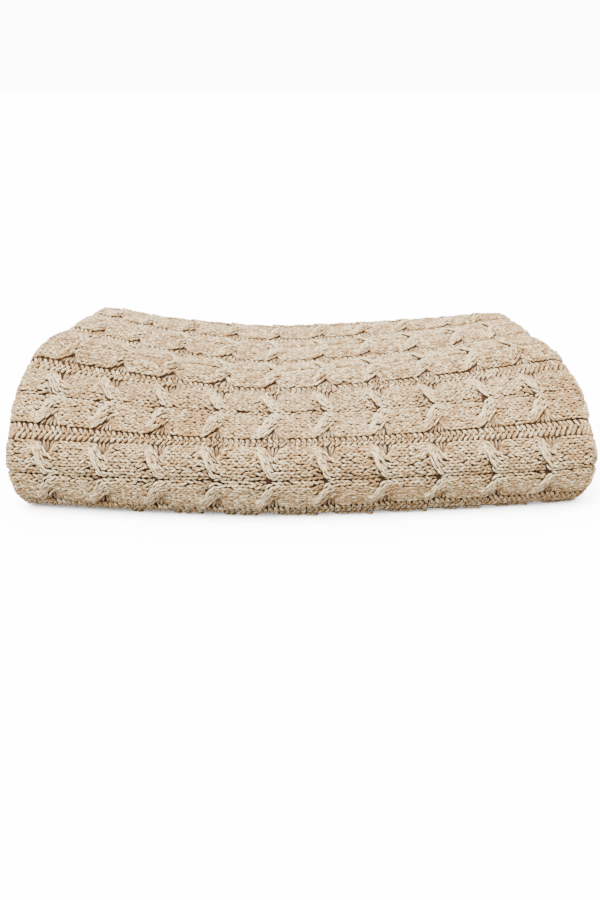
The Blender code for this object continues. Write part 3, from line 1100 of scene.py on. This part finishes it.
def yarn_material(settings, marl):
    """Two plies twisted round each other along every length of yarn, with painted shade between the
    plies and between the stitches.
    """
    material, tree, shader, colour = woollen("marled_yarn", settings, marl)
    around = attribute(tree, "Place round the yarn", "around")
    along = attribute(tree, "Place along the yarn", "along")
    fleck_and_painted_light = attribute(tree, "Each length's shade and painted light", "fleck_and_painted_light")
    tone_and_painted_light = attribute(tree, "Painted shade between stitches", "tone_and_painted_light")
    lengthwise = maths(tree, "Twist of the plies", "MULTIPLY", along, 3.0)
    twist = maths(tree, "Round the plies", "MULTIPLY_ADD", around, 7.0, lengthwise)
    apart = maths(tree, "Lengths differ", "MULTIPLY", fleck_and_painted_light, 60.0)
    turned = node(tree, "ShaderNodeCombineXYZ", "Twisted place")
    tree.links.new(twist, turned.inputs["X"])
    tree.links.new(lengthwise, turned.inputs["Y"])
    tree.links.new(apart, turned.inputs["Z"])
    plies = node(tree, "ShaderNodeTexNoise", "Twisted plies", Scale=1.0, Detail=2.5)
    tree.links.new(turned.outputs["Vector"], plies.inputs["Vector"])
    shade = maths(tree, "Own shade and painted light", "MULTIPLY_ADD", fleck_and_painted_light, 0.34, -0.17)
    streak = maths(tree, "Plies and shade", "ADD", plies.outputs["Fac"], shade)
    tree.links.new(streak, colour.inputs["Streak"])
    # Painted shade in the lines between the plies, added to the depth.
    lines = maths(tree, "Plies round the yarn", "MULTIPLY_ADD", around, 3.4, fleck_and_painted_light)
    lines = maths(tree, "Two plies and a bit", "MULTIPLY_ADD", along, 1.1, lines)
    line = maths(tree, "Between the plies", "PINGPONG", lines, 0.5)
    line = ranged(tree, "Painted shade between plies", line, 0.02, 0.20)
    deepened = maths(tree, "Depth of the lines", "MULTIPLY_ADD", line, PLY_DEPTH, 1 - PLY_DEPTH)
    tree.links.new(maths(tree, "Depth with plies", "MULTIPLY", tone_and_painted_light, deepened), colour.inputs["Depth"])
    rough = node(tree, "ShaderNodeBump", "Fibres", Strength=0.6, Distance=0.0006)
    tree.links.new(colour.outputs["Height"], rough.inputs["Height"])
    tree.links.new(rough.outputs["Normal"], shader.inputs["Normal"])
    return material


def bare_knit_material(settings, marl):
    """Knitting on the sides that face inwards: pointed strokes row by row and wale by wale, with
    painted shade between them.
    """
    material, tree, shader, colour = woollen("inner_knitting", settings, marl)
    rows = attribute(tree, "Rows", "rows")
    wales = attribute(tree, "Wales", "wales")
    slant = maths(tree, "Slant of the legs", "PINGPONG", wales, 0.5)
    slanted = maths(tree, "Slanted rows", "MULTIPLY_ADD", slant, 1.2, rows)
    stroke = maths(tree, "Strokes", "PINGPONG", slanted, 0.5)
    doubled = maths(tree, "Two legs a wale", "MULTIPLY", wales, 2.0)
    leg = maths(tree, "Legs", "PINGPONG", doubled, 0.5)
    relief = maths(tree, "Legs and strokes", "MULTIPLY_ADD", stroke, 0.9, leg)
    # Painted shade between the strokes and legs.
    depth = maths(tree, "Their depth", "MULTIPLY_ADD", relief, 0.75, 0.30)
    tree.links.new(depth, colour.inputs["Depth"])
    rough = node(tree, "ShaderNodeBump", "Stitches", Strength=0.9, Distance=0.002)
    tree.links.new(relief, rough.inputs["Height"])
    tree.links.new(rough.outputs["Normal"], shader.inputs["Normal"])
    return material


def gap_shade_material(settings):
    """Painted shade in the gaps between the stitches: a dark sheet, mottled from deep to brown."""
    material = bpy.data.materials.new("painted_gap_shade")
    material.use_nodes = True
    tree = material.node_tree
    shader = tree.nodes["Principled BSDF"]
    place = node(tree, "ShaderNodeTexCoord", "Place on the throw")
    noise = node(tree, "ShaderNodeTexNoise", "Mottled gap shade", Scale=500.0, Detail=3.0)
    tree.links.new(place.outputs["Object"], noise.inputs["Vector"])
    ramp = node(tree, "ShaderNodeMix", "Deep to brown", data_type="RGBA")
    ramp.inputs[6].default_value = (*[0.006 + 0.25 * value for value in settings.depth_shade], 1)
    ramp.inputs[7].default_value = (*[0.006 + 0.25 * value for value in settings.brown_yarn], 1)
    share = ranged(tree, "Share of brown", noise.outputs["Fac"], 0.40, 0.75)
    tree.links.new(share, ramp.inputs["Factor"])
    tree.links.new(ramp.outputs[2], shader.inputs["Base Color"])
    shader.inputs["Roughness"].default_value = 0.95
    shader.inputs["Specular IOR Level"].default_value = 0.1
    return material


def floor_material(settings):
    """A plain pale floor that the camera sees as white, with its soft shadow."""
    material = bpy.data.materials.new("pale_floor")
    material.use_nodes = True
    tree = material.node_tree
    tree.nodes.remove(tree.nodes["Principled BSDF"])
    shader = node(tree, "ShaderNodeBsdfDiffuse", "Matt paper")
    seen = node(tree, "ShaderNodeLightPath", "Seen by the camera")
    white = maths(
        tree,
        "Brighter to the camera",
        "MULTIPLY_ADD",
        seen.outputs["Is Camera Ray"],
        settings.backdrop_white - 1,
        1.0,
    )
    colour = node(tree, "ShaderNodeVectorMath", "Floor colour", operation="SCALE")
    colour.inputs[0].default_value = settings.floor_colour
    tree.links.new(white, colour.inputs["Scale"])
    tree.links.new(colour.outputs["Vector"], shader.inputs["Color"])
    tree.links.new(shader.outputs["BSDF"], tree.nodes["Material Output"].inputs["Surface"])
    return material


# Settings

class ThrowSettings(bpy.types.PropertyGroup):
    yarn_radius: FloatProperty(
        name="Yarn radius",
        description="Half the thickness of one leg of a stitch",
        default=0.00130,
        unit="LENGTH",
    )
    purl_fullness: FloatProperty(
        name="Purl fullness",
        description="Thickness of the purl strokes beside that of the knit legs",
        default=1.22,
    )
    leg_length: FloatProperty(
        name="Leg length",
        description="Length of a stitch's leg in rows",
        default=1.6,
    )
    leg_open: FloatProperty(
        name="Leg opening",
        description="Distance of a leg from its stitch's middle at its open end, in stitches",
        default=0.43,
    )
    leg_closed: FloatProperty(
        name="Leg closing",
        description="Distance of a leg from its stitch's middle at its closed end, in stitches",
        default=0.08,
    )
    leg_arch: FloatProperty(
        name="Leg arch",
        description="How far both ends of a leg dip below its middle",
        default=0.0011,
        unit="LENGTH",
    )
    unevenness: FloatProperty(
        name="Unevenness",
        description="How much stitches differ in place, height and shade",
        default=0.6,
    )
    light_yarn: FloatVectorProperty(
        name="Light fibres",
        description="Colour of the cream fibres",
        subtype="COLOR",
        default=(0.97, 0.79, 0.47),
    )
    tan_yarn: FloatVectorProperty(
        name="Tan fibres",
        description="Colour of the tan fibres",
        subtype="COLOR",
        default=(0.55, 0.33, 0.135),
    )
    brown_yarn: FloatVectorProperty(
        name="Brown fibres",
        description="Colour of the few brown fibres",
        subtype="COLOR",
        default=(0.26, 0.13, 0.045),
    )
    # Painted shade between the stitches.
    depth_shade: FloatVectorProperty(
        name="Shade in the depths",
        description="Colour between the stitches",
        subtype="COLOR",
        default=(0.14, 0.062, 0.020),
    )
    seed: IntProperty(
        name="Seed",
        description="Start of the random unevenness",
        default=7,
    )


class StageSettings(bpy.types.PropertyGroup):
    floor_colour: FloatVectorProperty(
        name="Floor",
        description="Colour of the floor",
        subtype="COLOR",
        default=(0.25, 0.25, 0.25),
    )
    backdrop_white: FloatProperty(
        name="White of the backdrop",
        description="How much brighter the camera sees the floor and the surroundings",
        default=16.5,
    )
    world_light: FloatProperty(
        name="Surrounding light",
        description="Strength of the light from all around",
        default=2.25,
    )
    key_light: FloatProperty(
        name="Key light",
        description="Strength of the wide soft light overhead",
        default=6.9,
    )
    key_width: FloatProperty(
        name="Key light width",
        description="How wide the light overhead looks: wider is softer",
        subtype="ANGLE",
        default=math.radians(50),
    )


# Pieces

STACK = Stack()


def finished(yarn, name):
    """The laid yarn as one piece of the knitting."""
    piece = yarn.piece(name)
    piece.data.materials.append(bpy.data.materials["marled_yarn"])
    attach(piece, "root")
    return piece


def knitted_piece(context, name, cables, keep, marl=1.0):
    """Stitches of these cables, on the rows that keep chooses, as one piece."""
    settings = context.scene.throw
    yarn = Yarn(settings.seed + len(bpy.data.objects), marl)
    rows = all_rows()
    rows = rows[keep(CROSS_START + (rows + 0.5) * ROW)]
    for cable in cables:
        for lay in (lay_cable, lay_channel, lay_wedges):
            lay(yarn, STACK, STACK.face, in_sight, cable, rows, settings)
    return finished(yarn, name)


def on_the_middle(u):
    return (u > LEFT_TURN) & (u < RIGHT_TURN)


class THROW_OT_ground(bpy.types.Operator):
    """Trace the folded sheet that the stitches sit on"""

    bl_idname = "throw.ground"
    bl_label = "Folded Ground"

    def execute(self, context):
        settings = context.scene.throw
        marl = marled_colour_group()
        yarn_material(settings, marl)
        mesh = ground_mesh(STACK, "throw_ground")
        piece = bpy.data.objects.new("throw_ground", mesh)
        context.scene.collection.objects.link(piece)
        thicken = piece.modifiers.new("Thickness", "SOLIDIFY")
        thicken.thickness = SHEET
        thicken.offset = 0.0
        thicken.material_offset = 1
        # Painted shade for the gaps between the stitches on the outer face; inner knitting on the bare
        # columns.
        mesh.materials.append(gap_shade_material(settings))
        mesh.materials.append(bare_knit_material(settings, marl))
        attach(piece, "root")
        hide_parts("throw")
        return {"FINISHED"}


class THROW_OT_front_cables(bpy.types.Operator):
    """Lay the stitches of the three lowest cables, round the front fold"""

    bl_idname = "throw.front_cables"
    bl_label = "Front Cables"

    def execute(self, context):
        knitted_piece(context, "front_cables", (-1, 0, 1), on_the_middle)
        return {"FINISHED"}


class THROW_OT_top_cables(bpy.types.Operator):
    """Lay the stitches of the two cables on the top"""

    bl_idname = "throw.top_cables"
    bl_label = "Top Cables"

    def execute(self, context):
        knitted_piece(context, "top_cables", (2, 3), on_the_middle, TOP_MARL)
        return {"FINISHED"}


class THROW_OT_back_cables(bpy.types.Operator):
    """Lay the stitches of the two cables round the back fold"""

    bl_idname = "throw.back_cables"
    bl_label = "Back Cables"

    def execute(self, context):
        knitted_piece(context, "back_cables", (4, 5), on_the_middle, TOP_MARL)
        return {"FINISHED"}


class THROW_OT_end_folds(bpy.types.Operator):
    """Lay the stitches round the folds at the two ends"""

    bl_idname = "throw.end_folds"
    bl_label = "End Folds"

    def execute(self, context):
        every_cable = range(-5, 12)
        knitted_piece(context, "left_fold", every_cable, lambda u: u <= LEFT_TURN)
        knitted_piece(context, "right_fold", every_cable, lambda u: u >= RIGHT_TURN)
        return {"FINISHED"}


class THROW_OT_free_edges(bpy.types.Operator):
    """Lay the stitches along the two free edges at the back and the flap's edge at the left"""

    bl_idname = "throw.free_edges"
    bl_label = "Free Edges"

    def execute(self, context):
        settings = context.scene.throw
        yarn = Yarn(settings.seed + len(bpy.data.objects))
        rows = all_rows()
        us = CROSS_START + (rows + 0.5) * ROW
        spans = (
            (0, LEFT_TURN - LEFT_EDGE_BEYOND, RIGHT_TURN + RIGHT_EDGE_BEYOND),
            (1, LEFT_TURN, FIRST_FLAP_EDGE),
            (2, SECOND_FLAP_EDGE, RIGHT_TURN),
        )
        for (depth, left, right), inner in itertools.product(spans, (False, True)):
            seen = rows[(us > left) & (us < right)]

            def on_edge(u, inset, height, depth=depth, inner=inner):
                return STACK.edge(u, inset, height, depth, inner)

            lay_edge_chain(yarn, on_edge, seen, settings)
            wales = EDGE_WALES if depth == 0 else 1
            for wale, side in itertools.product(range(wales), (-1, 1)):
                across = (wale + 0.55) * WALE
                lay_wale(yarn, on_edge, across, side * (SHEET / 2 - INTO_SHEET), seen, settings)
        lay_cast_off(yarn, STACK, settings)
        finished(yarn, "free_edges")
        return {"FINISHED"}


class THROW_OT_flap(bpy.types.Operator):
    """Lay the stitches on the part of the second flap that shows inside the left end fold"""

    bl_idname = "throw.flap"
    bl_label = "Flap"

    def execute(self, context):
        settings = context.scene.throw
        yarn = Yarn(settings.seed + len(bpy.data.objects))
        first = math.ceil((SECOND_FLAP_EDGE - CROSS_START) / ROW)
        rows = np.arange(first, first + FLAP_ROWS)
        for cable in range(-5, 12):
            for lay in (lay_cable, lay_channel):
                lay(yarn, STACK, STACK.flap, in_the_flap, cable, rows, settings)
        finished(yarn, "flap_end")
        return {"FINISHED"}


class THROW_OT_stage(bpy.types.Operator):
    """Set the floor, the lights and the camera"""

    bl_idname = "throw.stage"
    bl_label = "Stage"

    def execute(self, context):
        settings = context.scene.throw_stage
        bpy.ops.mesh.primitive_plane_add(size=30.0)
        floor = context.active_object
        floor.name = "floor"
        floor.data.materials.append(floor_material(settings))
        world = bpy.data.worlds.new("surroundings")
        world.use_nodes = True
        sky = world.node_tree.nodes["Background"]
        sky.inputs["Color"].default_value = (1, 1, 1, 1)
        seen = node(world.node_tree, "ShaderNodeLightPath", "Seen by the camera")
        direction = node(world.node_tree, "ShaderNodeTexCoord", "Direction").outputs["Generated"]
        parts = node(world.node_tree, "ShaderNodeSeparateXYZ", "Height of the direction")
        world.node_tree.links.new(direction, parts.inputs["Vector"])
        above = maths(
            world.node_tree,
            "Brighter overhead",
            "MULTIPLY_ADD",
            parts.outputs["Z"],
            0.75 * settings.world_light,
            0.25 * settings.world_light,
        )
        strength = maths(
            world.node_tree,
            "White to the camera",
            "MAXIMUM",
            maths(
                world.node_tree,
                "Seen white",
                "MULTIPLY",
                seen.outputs["Is Camera Ray"],
                BACKDROP,
            ),
            above,
        )
        world.node_tree.links.new(strength, sky.inputs["Strength"])
        context.scene.world = world
        key = bpy.data.lights.new("key", "SUN")
        key.angle = settings.key_width
        key.energy = settings.key_light
        lamp = bpy.data.objects.new("key", key)
        lamp.location = KEY_PLACE
        aim = Vector((0, 0, 0)) - lamp.location
        lamp.rotation_euler = aim.to_track_quat("-Z", "Y").to_euler()
        context.scene.collection.objects.link(lamp)
        lens = bpy.data.cameras.new("camera")
        lens.sensor_fit = "VERTICAL"
        lens.sensor_height = FILM
        lens.lens = LENS
        camera = bpy.data.objects.new("camera", lens)
        camera.location = (CAMERA_X, -CAMERA_BACK - STACK_MIDDLE, CAMERA_HEIGHT)
        camera.rotation_euler = (math.radians(90 - CAMERA_PITCH), 0, 0)
        context.scene.collection.objects.link(camera)
        context.scene.camera = camera
        return {"FINISHED"}


class THROW_PT_panel(bpy.types.Panel):
    bl_label = "Cable Knit Throw"
    bl_idname = "THROW_PT_panel"
    bl_space_type = "VIEW_3D"
    bl_region_type = "UI"
    bl_category = "Throw"

    def draw(self, context):
        layout = self.layout
        for settings in (context.scene.throw, context.scene.throw_stage):
            for name in settings.__annotations__:
                layout.prop(settings, name)
        for operator in OPERATORS:
            layout.operator(operator.bl_idname)


OPERATORS = (
    THROW_OT_ground,
    THROW_OT_front_cables,
    THROW_OT_top_cables,
    THROW_OT_back_cables,
    THROW_OT_end_folds,
    THROW_OT_free_edges,
    THROW_OT_flap,
    THROW_OT_stage,
)
CLASSES = (ThrowSettings, StageSettings) + OPERATORS + (THROW_PT_panel,)


def register():
    for item in CLASSES:
        bpy.utils.register_class(item)
    bpy.types.Scene.throw = PointerProperty(type=ThrowSettings)
    bpy.types.Scene.throw_stage = PointerProperty(type=StageSettings)


def unregister():
    del bpy.types.Scene.throw_stage
    del bpy.types.Scene.throw
    for item in reversed(CLASSES):
        bpy.utils.unregister_class(item)


def main():
    register()
    bpy.ops.object.select_all(action="DESELECT")
    bpy.ops.throw.ground()
    bpy.ops.throw.front_cables()
    bpy.ops.throw.top_cables()
    bpy.ops.throw.back_cables()
    bpy.ops.throw.end_folds()
    bpy.ops.throw.free_edges()
    bpy.ops.throw.flap()
    bpy.ops.throw.stage()
    bpy.context.view_layer.update()


if __name__ == "__main__":
    main()
